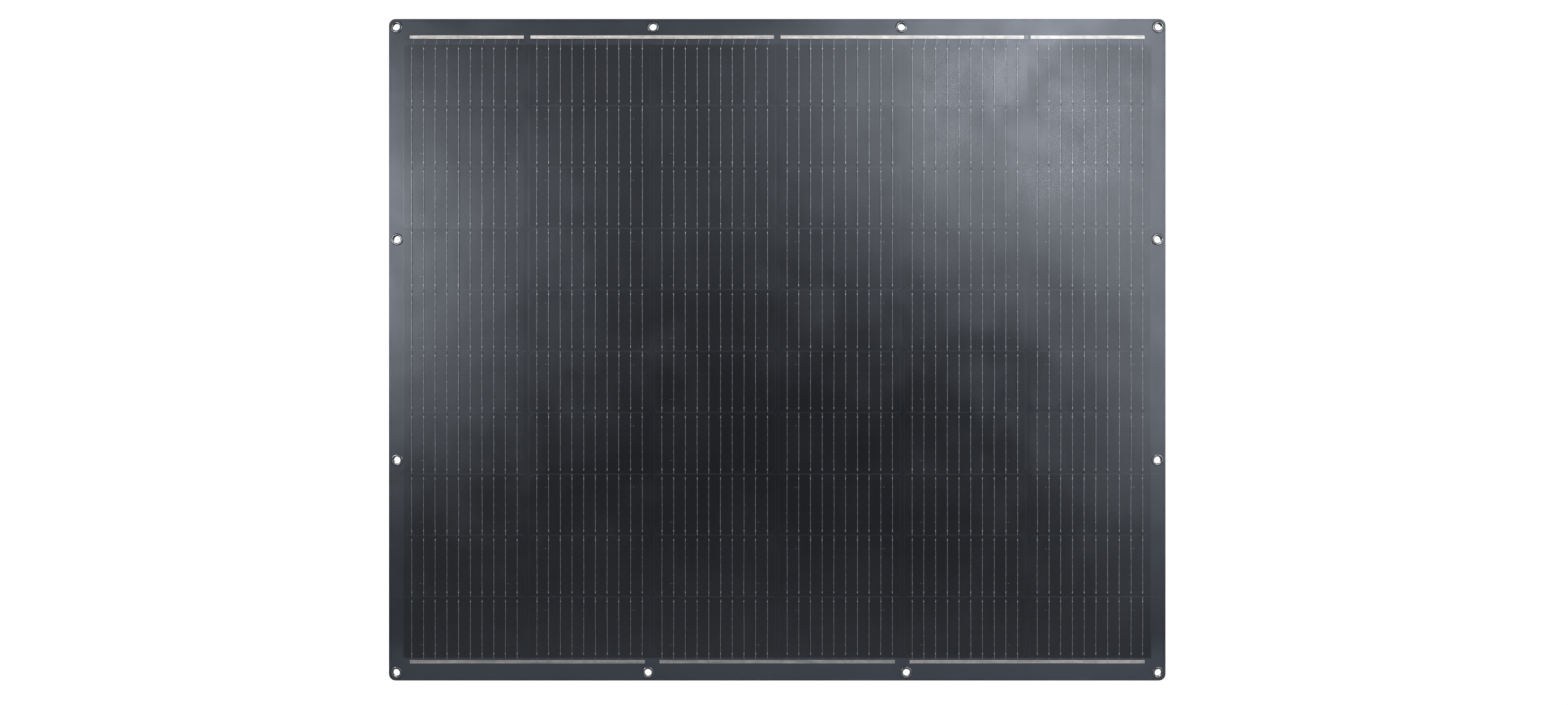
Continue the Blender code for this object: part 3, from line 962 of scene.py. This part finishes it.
# %% Drift
def wander(line, height):
    """The sideways drift of one line of wire at a height, in metres."""
    slow = noise.noise(Vector((line * 60, 3.1, height * 9)))
    quick = noise.noise(Vector((line * 60, 7.7, height * 45)))
    return (0.38 * slow + 0.16 * quick) * MM


def drift(piece):
    for vert in piece.data.vertices:
        vert.co.x += wander(round(vert.co.x / WIRE_PITCH * 2), vert.co.z)
    return piece


print("drift of the first line at the top, in mm:", round(wander(0, 0) / MM, 3))


# %% The wires of a segment
def wire_offsets():
    return [(number - (WIRES - 1) / 2) * WIRE_PITCH for number in range(WIRES)]


def wire_places(segment):
    places = []
    for place in cell_places(segment):
        places += [place @ Matrix.Translation((offset, 0, 0)) for offset in wire_offsets()]
    return places


wires = [drift(stamp(f"wires_{segment.name}", wire, wire_places(segment))) for segment in SEGMENTS]
discard(wire)
print("wires:", sum(len(wire_places(segment)) for segment in SEGMENTS))

# %% The solder of a segment
END_POINT = Vector((0.86, 0.25, 0.95)) * MM
MIDDLE_POINT = Vector((0.56, 0.25, 0.62)) * MM
MARK = Vector((0.42, 0.10, 0.42)) * MM
MARK_SIDE = 4.5 * MM


def point_places(segment):
    places = []
    for place in cell_places(segment):
        for offset in wire_offsets():
            for step in range(POINTS):
                size = END_POINT if step in (0, POINTS - 1) else MIDDLE_POINT
                spot = Vector((offset, WIRE_DEPTH, top - FIRST_POINT - POINT_PITCH * step))
                places.append(place @ Matrix.LocRotScale(spot, None, size))
        for offset in (wire_offsets()[1] - MARK_SIDE, wire_offsets()[-2] + MARK_SIDE):
            spot = Vector((offset, CELL_FRONT, top - FIRST_POINT - POINT_PITCH * (POINTS - 2)))
            places.append(place @ Matrix.LocRotScale(spot, None, MARK))
    return places


solder = []
for segment in SEGMENTS:
    solder.append(drift(stamp(f"solder_{segment.name}", point_pattern, point_places(segment))))
discard(point_pattern)
print("solder triangles:", sum(len(piece.data.polygons) for piece in solder))

# %% [markdown]
# ## Bus ribbons and their leads
# Flat tinned ribbons join the columns above the first row and below the last. At the top, the
# wires of the first, third and fifth columns slant down from the ribbon and slip under the cells,
# and the others run on straight. In the gap on the right, the end of one ribbon is folded over,
# and shows as a small soft square with a dent in it.

# %% Ribbons
RIBBONS = [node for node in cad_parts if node.startswith("bus_ribbon")]
RIBBON_STEPS = 24
RIBBON_FRONT = CELL_FRONT - 0.1 * MM
WORN_EDGE = 0.06 * MM
WAVE = 0.25 * MM


def ribbon(node):
    """A ribbon with worn edges and a slight wave."""
    low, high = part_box(node)
    piece = block(f"silver_{node}", (low.x, RIBBON_FRONT, low.z), (high.x, CELL_BACK, high.z))
    edit(piece, "edges", lambda edge: along(edge, Z) or along(edge, X))
    bpy.ops.mesh.bevel(offset=WORN_EDGE, segments=1, affect="EDGES")
    for step in range(1, RIBBON_STEPS):
        x = low.x + (high.x - low.x) * step / RIBBON_STEPS
        pick(piece, "verts", lambda vert: True)
        bpy.ops.mesh.bisect(plane_co=(x, 0, 0), plane_no=(1, 0, 0))
    leave()
    for vert in piece.data.vertices:
        vert.co.z += WAVE * noise.noise(Vector((vert.co.x * 14, 1.3, 0)))
    return piece


ribbons = [ribbon(node) for node in RIBBONS]
print("ribbons:", [piece.name for piece in ribbons])

# %% A folded ribbon end in the gap on the right
FOLD_HALF = Vector((2.8, 0, 2.6)) * MM
FOLD_SHIFT = 1.2 * MM
FOLD_CORNER = 1.6 * MM
FOLD_RIM = 0.6 * MM
FOLD_SINK = 0.06 * MM
gap_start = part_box("bus_ribbon_top_3")[1].x
gap_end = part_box("bus_ribbon_top_4")[0].x
fold_x = (gap_start + gap_end) / 2 - FOLD_SHIFT
fold_z = (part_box("bus_ribbon_top_3")[0].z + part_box("bus_ribbon_top_3")[1].z) / 2
fold = block(
    "folded_ribbon_end",
    Vector((fold_x, RIBBON_FRONT, fold_z)) - FOLD_HALF,
    Vector((fold_x, CELL_BACK, fold_z)) + FOLD_HALF,
)
edit(fold, "edges", lambda edge: along(edge, Y))
bpy.ops.mesh.bevel(offset=FOLD_CORNER, segments=4, affect="EDGES")
pick(fold, "faces", lambda face: face.normal.y < -0.9)
bpy.ops.mesh.inset(thickness=FOLD_RIM)
bpy.ops.mesh.extrude_region_move(TRANSFORM_OT_translate={"value": (0, FOLD_SINK, 0)})
leave()
print("folded end:", len(fold.data.polygons), "faces at x", round(fold_x / MM, 1))

# %% Leads between the ribbons and the cells
TOP_RIBBON_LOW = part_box("bus_ribbon_top_1")[0].z
BOTTOM_RIBBON_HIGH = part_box("bus_ribbon_bottom_1")[1].z
OVERLAP = 1 * MM
SLANT = Vector((3.2, 0, 0)) * MM
TUCK = Vector((1.4, 0, 0.2)) * MM
TUCK_DEPTH = CELL_FRONT + 0.02 * MM


def lead(start, end):
    return rod("lead", WIRE_RADIUS, start, end, WIRE_SIDES)


top_leads, bottom_leads = [], []
for column in range(COLUMNS):
    for offset in wire_offsets():
        x = column_centre(column) + offset
        head = Vector((x, WIRE_DEPTH, TOP_RIBBON_LOW + OVERLAP))
        foot = Vector((x, WIRE_DEPTH, FIRST_CELL_TOP - 0.3 * MM))
        if runs_down(column):
            head += SLANT
            foot = Vector((x, TUCK_DEPTH, FIRST_CELL_TOP)) + TUCK
        top_leads.append(lead(head, foot))
        gap = 0.2 * MM if runs_down(column) else 0
        low_end = Vector((x, WIRE_DEPTH, BOTTOM_RIBBON_HIGH - OVERLAP))
        high_end = Vector((x, WIRE_DEPTH, LAST_CELL_BOTTOM - gap))
        bottom_leads.append(lead(low_end, high_end))
print("leads:", len(top_leads) + len(bottom_leads))
top_leads = merge("leads_top", *top_leads)
bottom_leads = merge("leads_bottom", *bottom_leads)

# %% [markdown]
# ## Finishes of the metals
# Wires and ribbons are copper coated with tin, and solder is mostly tin, yet they look different:
# the wires are dull and grey, the solder is nearly white, the ribbons are creamy with fine drawn
# lines, and the folded end is dark and dull. Under the film none of them shines like bare metal,
# so they are only slightly metallic and rather rough.

# %% Tinned wire
wire_finish = Finish("tinned_wire")
point, x, y, z = place_of(wire_finish)
tarnish = cloud(wire_finish, point, 22 * MM, detail=2.0)
tinned = blend_colours(wire_finish, tarnish.ramp(0.35, 0.7), grey(0.42), grey(0.26))
wire_material = surface(wire_finish, tinned, 0.42 + tarnish * 0.1, metallic=0.2)
for piece in [*wires, top_leads, bottom_leads]:
    piece.data.materials.append(wire_material)
    smooth(piece, 60)

# %% Bright solder
solder_finish = Finish("bright_solder")
point, x, y, z = place_of(solder_finish)
frost = cloud(solder_finish, point, 1.2 * MM, detail=1.0)
bright = blend_colours(solder_finish, frost, grey(0.85), grey(0.98))
solder_material = surface(solder_finish, bright, 0.35 + frost * 0.15, metallic=0.2)
for piece in solder:
    piece.data.materials.append(solder_material)
    smooth(piece, 80)

# %% Tinned ribbon
ribbon_finish = Finish("tinned_ribbon")
point, x, y, z = place_of(ribbon_finish)
streaks = cloud(ribbon_finish, point, 1.1 * MM, detail=2.0, stretch=(60, 1, 1))
blotch = cloud(ribbon_finish, point, 12 * MM, detail=3.0)
across, down, turn = grid(ribbon_finish, x, z)
joints = wire_distance(across).ramp(1.2, 0.3)
pale, cream = grey(0.80, (1.0, 0.915, 0.80)), grey(0.62, (1.0, 0.90, 0.78))
line_tone = grey(0.28, (1.0, 0.97, 0.92))
blotched = blend_colours(ribbon_finish, blotch.ramp(0.35, 0.7), pale, cream)
lines = streaks.ramp(0.50, 0.60) * 0.55 + joints * 0.2
lined = blend_colours(ribbon_finish, lines, blotched, line_tone)
relief = streaks * 0.02 + joints * 0.05
ribbon_material = surface(
    ribbon_finish, lined, 0.45 + streaks * 0.15, relief * MM, metallic=0.25
)
for piece in ribbons:
    piece.data.materials.append(ribbon_material)

# %% Dull tin of the folded end
fold_finish = Finish("dull_tin")
point, x, y, z = place_of(fold_finish)
dull = cloud(fold_finish, point, 2.5 * MM, detail=3.0)
tin = blend_colours(fold_finish, dull, grey(0.09), grey(0.17))
fold.data.materials.append(surface(fold_finish, tin, 0.5 + dull * 0.1, metallic=0.1))

# %% [markdown]
# ## Eyelets
# Each eyelet is a nickel-plated barrel whose front lip is rolled over and whose back is peened
# against a washer. The section is drawn once and spun round the axis of the hole.

# %% The section of an eyelet
low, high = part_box("eyelet_top_1")
front, back = low.y, high.y
FLANGE = (high.x - low.x) / 2
BORE = 5.35 * MM
BARREL = HOLE_RADIUS - 0.35 * MM
WASHER = 8.3 * MM
WASHER_FRONT = BOARD_BACK + 0.08 * MM
LIP_MIDDLE = (BORE + FLANGE) / 2
LIP_REACH = (FLANGE - BORE) / 2
LIP_HEIGHT = FILM_FRONT - 0.03 * MM - front
LIP_STEPS = 10
LIP_ROUNDNESS = 0.8
SECTION = [(BORE, back - 0.15 * MM), (BORE, 0.0)]
for step in range(LIP_STEPS + 1):
    angle = math.pi * step / LIP_STEPS
    reach = LIP_MIDDLE - LIP_REACH * math.cos(angle)
    SECTION.append((reach, front + LIP_HEIGHT * (1 - math.sin(angle) ** LIP_ROUNDNESS)))
SECTION += [
    (BARREL, FILM_FRONT - 0.02 * MM),
    (BARREL, WASHER_FRONT),
    (WASHER, WASHER_FRONT),
    (WASHER, back - 0.3 * MM),
    (WASHER - 0.4 * MM, back),
    (BORE + 0.35 * MM, back),
]
print("the section has", len(SECTION), "corners")

# %% One eyelet
SPIN_STEPS = 40
bpy.ops.object.select_all(action="DESELECT")
bpy.ops.mesh.primitive_circle_add(vertices=len(SECTION), radius=1, fill_type="NOTHING")
eyelet = settle("eyelet")
for vert, (reach, depth) in zip(eyelet.data.vertices, SECTION):
    vert.co = (reach, depth, 0)
edit(eyelet, "verts", lambda vert: True)
bpy.ops.mesh.spin(steps=SPIN_STEPS, angle=2 * math.pi, center=(0, 0, 0), axis=(0, 1, 0))
bpy.ops.mesh.select_all(action="SELECT")
bpy.ops.mesh.remove_doubles(threshold=1e-6)
bpy.ops.mesh.normals_make_consistent(inside=False)
leave()
smooth(eyelet, 40)
print("one eyelet has", len(eyelet.data.polygons), "faces")

# %% Every eyelet
eyelets = {}
for number, node in enumerate(EYELETS):
    spot = eyelet_centre(node)
    place = Matrix.Translation((spot.x, 0, spot.z)) @ Matrix.Rotation(number * 0.7, 4, "Y")
    eyelets[node] = stamp(f"nickel_{node}", eyelet, [place])
discard(eyelet)
print("eyelets:", len(eyelets))

# %% [markdown]
# Nickel plating goes grey and uneven where cords rub it. Its colour and its gloss follow the same
# worn patches, and shallow dents from the press break up the reflections on the lip.

# %% The eyelets' finish
nickel = Finish("worn_nickel")
point, x, y, z = place_of(nickel)
wear = cloud(nickel, point, 2.2 * MM, detail=4.0, roughness=0.65)
dents = cloud(nickel, point, 3.5 * MM, detail=1.0)
clean, worn = grey(0.30, (1, 0.99, 0.98)), grey(0.16, (1, 0.98, 0.96))
plated = blend_colours(nickel, wear.ramp(0.4, 0.65), clean, worn)
nickel_roughness = 0.24 + wear.ramp(0.45, 0.8) * 0.22
nickel_material = surface(nickel, plated, nickel_roughness, dents * 0.12 * MM, metallic=1.0)
for piece in eyelets.values():
    piece.data.materials.append(nickel_material)

# %% [markdown]
# ## Junction boxes on the back
# Three small boxes of black plastic cover the places where the ribbons pass through the board. The
# lids get their moulded shape: a rounded edge, a sunk panel with grip ribs, and a lip that plugs
# into the housing. A bead of sealant is squeezed out round each housing.

# %% One moulded lid
LID_CORNER = 4 * MM
LID_ROUND = 0.7 * MM
PANEL_INSET = 3.2 * MM
PANEL_DEPTH = 0.7 * MM
PANEL_TAPER = (0.985, 1, 0.965)
LIP_INSET = 2.5 * MM
LIP_WALL = 1.5 * MM


def moulded_lid(side):
    """A lid plate with a sunk panel on its outside and a lip on its inside."""
    low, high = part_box(f"junction_lid_{side}")
    centre = (low + high) / 2
    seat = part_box(f"lid_seal_{side}")[1].y + 0.1 * MM
    lid = block(f"moulded_lid_{side}", (low.x, seat, low.z), high)
    edit(lid, "edges", lambda edge: along(edge, Y))
    bpy.ops.mesh.bevel(offset=LID_CORNER, segments=5, affect="EDGES")
    pick(lid, "edges", lambda edge: all(near(vert.co.y, high.y) for vert in edge.verts))
    bpy.ops.mesh.bevel(offset=LID_ROUND, segments=3, affect="EDGES")
    pick(lid, "faces", lambda face: face.normal.y > 0.99)
    bpy.ops.mesh.inset(thickness=PANEL_INSET)
    bpy.ops.mesh.extrude_region_move(TRANSFORM_OT_translate={"value": (0, -PANEL_DEPTH, 0)})
    bpy.ops.transform.resize(value=PANEL_TAPER, center_override=centre)
    pick(lid, "faces", lambda face: face.normal.y < -0.99)
    bpy.ops.mesh.inset(thickness=LIP_INSET)
    bpy.ops.mesh.inset(thickness=LIP_WALL)
    reach = (high - low) / 2 - Vector((LIP_INSET, 0, LIP_INSET)) + Vector((1e-5, 0, 1e-5))

    def on_lip(face):
        """True for a face of the ring that the two insets left on the underside."""
        spots = [vert.co - centre for vert in face.verts]
        inside = all(abs(spot.x) < reach.x and abs(spot.z) < reach.z for spot in spots)
        return face.normal.y < -0.99 and len(spots) == 4 and inside

    pick(lid, "faces", on_lip)
    bpy.ops.mesh.extrude_region_move(TRANSFORM_OT_translate={"value": (0, low.y - seat, 0)})
    leave()
    return lid


lids = {side: moulded_lid(side) for side in ("left", "middle", "right")}
print("one lid has", len(lids["left"].data.polygons), "faces")

# %% Grip ribs on the lids
RIBS = 7
RIB_PITCH = 3.2 * MM
RIB_START = 14 * MM
RIB_HALF = Vector((0.7, 0, 13.0)) * MM
RIB_ROOT = Vector((0, 0.3, 0)) * MM
RIB_HEIGHT = 0.55 * MM


def grip_rib(x, y, z):
    """A low rib with a rounded top and round ends, sunk into the lid's panel."""
    spot = Vector((x, y, z))
    rise = Vector((0, RIB_HEIGHT, 0))
    rib = block("rib", spot - RIB_HALF - RIB_ROOT, spot + RIB_HALF + rise)
    edit(rib, "edges", lambda edge: along(edge, Y))
    bpy.ops.mesh.bevel(offset=0.6 * MM, segments=3, affect="EDGES")
    pick(rib, "edges", lambda edge: all(near(vert.co.y, y + RIB_HEIGHT) for vert in edge.verts))
    bpy.ops.mesh.bevel(offset=0.25 * MM, segments=2, affect="EDGES")
    leave()
    return rib


for side, lid in lids.items():
    low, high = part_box(f"junction_lid_{side}")
    x, z = (low.x + high.x) / 2, (low.z + high.z) / 2
    ribs = []
    for end in (-1, 1):
        for number in range(RIBS):
            rib_x = x + end * (RIB_START + number * RIB_PITCH)
            ribs.append(grip_rib(rib_x, high.y - PANEL_DEPTH, z))
    lids[side] = smooth(merge(lid.name, lid, *ribs), 35)
print("a lid with its ribs has", len(lids["left"].data.polygons), "faces")

# %% Sealant beads
BEAD = 1.6 * MM
BEAD_FRONT = BOARD_BACK - 0.05 * MM
BEAD_TOP = BOARD_BACK + 1.3 * MM
BEAD_ROUND = 1.1 * MM
BEAD_SWELL = 0.35 * MM
beads = {}
for side in lids:
    low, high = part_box(f"junction_housing_{side}")
    bead = block(
        f"sealant_{side}",
        (low.x - BEAD, BEAD_FRONT, low.z - BEAD),
        (high.x + BEAD, BEAD_TOP, high.z + BEAD),
    )
    edit(bead, "edges", lambda edge: along(edge, Y))
    bpy.ops.mesh.bevel(offset=LID_CORNER + BEAD, segments=5, affect="EDGES")
    pick(bead, "edges", lambda edge: all(near(vert.co.y, BEAD_TOP) for vert in edge.verts))
    bpy.ops.mesh.bevel(offset=BEAD_ROUND, segments=3, affect="EDGES")
    pick(bead, "verts", lambda vert: True)
    bpy.ops.mesh.subdivide(number_cuts=2)
    leave()
    for vert in bead.data.vertices:
        swell = BEAD_SWELL * noise.noise(vert.co * 160)
        vert.co.x += math.copysign(swell, vert.co.x - (low.x + high.x) / 2)
        vert.co.z += math.copysign(swell, vert.co.z - (low.z + high.z) / 2)
    beads[side] = smooth(bead, 60)
print("one bead has", len(beads["left"].data.polygons), "faces")

# %% [markdown]
# ## Finishes of the boxes
# The housings and lids are moulded in black plastic whose mould was spark-eroded, which leaves a
# fine grain. The seals and the sealant are dull rubber, the glands are smoother grey nylon, and the
# diodes inside have tinned legs. Each is a Principled shader with noise in its tone and roughness.

# %% Moulded plastic
moulded = Finish("moulded_plastic")
point, x, y, z = place_of(moulded)
pores = cloud(moulded, point, 0.5 * MM, detail=2.0)
flow = cloud(moulded, point, 30 * MM, detail=2.0)
plastic = blend_colours(moulded, flow, grey(0.012), grey(0.020))
moulded_material = surface(moulded, plastic, 0.42 + pores * 0.15, pores * 0.03 * MM)

# %% Soft rubber
rubber = Finish("soft_rubber")
point, x, y, z = place_of(rubber)
bloom = cloud(rubber, point, 8 * MM, detail=3.0)
dusty = blend_colours(rubber, bloom, grey(0.012), grey(0.03))
rubber_material = surface(rubber, dusty, 0.75 + bloom * 0.15)

# %% Grey nylon
RIDGES = 4.2
nylon = Finish("grey_nylon")
point, x, y, z = place_of(nylon)
haze = cloud(nylon, point, 6 * MM, detail=3.0)
ribbed = abs(x.math("SINE", z * RIDGES))
hazy = blend_colours(nylon, haze, grey(0.030), grey(0.048))
relief = ribbed * 0.12 + haze * 0.1
nylon_material = surface(nylon, hazy, 0.34 + haze * 0.2, relief * MM)

# %% Black epoxy of the diodes, between tinned legs
BOX_PITCH = 2 * COLUMN_PITCH / MM
DIODE_HALF = 6
epoxy = Finish("epoxy_and_legs")
point, x, y, z = place_of(epoxy)
from_body = abs((x + BOX_PITCH * 1.5) % BOX_PITCH - BOX_PITCH / 2)
legs = from_body.ramp(DIODE_HALF - 0.05, DIODE_HALF + 0.05)
dust = cloud(epoxy, point, 1.5 * MM, detail=3.0)
two_tone = blend_colours(epoxy, legs, grey(0.018), grey(0.62))
epoxy_material = surface(
    epoxy, two_tone, 0.38 + dust * 0.2, dust * 0.05 * MM, metallic=legs * 0.9
)

# %% [markdown]
# The other parts of the boxes have the right shape in the engineering model already, so they keep
# their meshes and only get their finish, by the first words of their names.

# %% Painting the engineering parts
PAINT = {
    "junction": moulded_material,
    "cable_gland": nylon_material,
    "gland_nut": nylon_material,
    "bypass_diode": epoxy_material,
    "lid_seal": rubber_material,
}
for name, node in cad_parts.items():
    for start, material in PAINT.items():
        if name.startswith(start):
            node.data.materials[0] = material
for side in lids:
    lids[side].data.materials.append(moulded_material)
    beads[side].data.materials.append(rubber_material)
print("boxes painted")

# %% [markdown]
# ## Fitting the pieces to the moving model
# Each end segment rides on its strip, and a middle one keeps its place. The engineering parts that
# a piece stands for are hidden.

# %% The layers of the laminate
for number, segment in enumerate(SEGMENTS):
    for piece, slot in (
        (films[number], "front_film"),
        (boards[number], "back_board"),
        (cells[number], "solar_cell"),
        (wires[number], "bus_ribbon"),
        (solder[number], "bus_ribbon"),
    ):
        attach(piece, segment)
for number, strip in enumerate(STRIPS):
    owner = number + 1 if number else 0
    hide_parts(f"front_film_{strip}", f"front_encapsulant_{strip}")
    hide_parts(f"rear_encapsulant_{strip}", f"back_board_{strip}")
    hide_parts(f"cells_{strip}")
print("laminate fitted")

# %% Ribbons, leads, eyelets and boxes
for node, piece in zip(RIBBONS, ribbons):
    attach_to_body(piece, "sheet_top" if "top" in node else "sheet_bottom")
    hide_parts(node)
for piece, body in ((top_leads, "sheet_top"), (fold, "sheet_top"), (bottom_leads, "sheet_bottom")):
    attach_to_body(piece, body)
for node, piece in eyelets.items():
    if "top" in node or "bottom" in node:
        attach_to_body(piece, "sheet_top" if "top" in node else "sheet_bottom")
    else:
        attach(piece, SEGMENTS[2] if "upper" in node else SEGMENTS[3])
    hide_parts(node)
for side in lids:
    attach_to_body(lids[side], f"lid_{side}")
    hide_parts(f"junction_lid_{side}")
    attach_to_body(beads[side], "sheet_top")
print("hardware fitted")
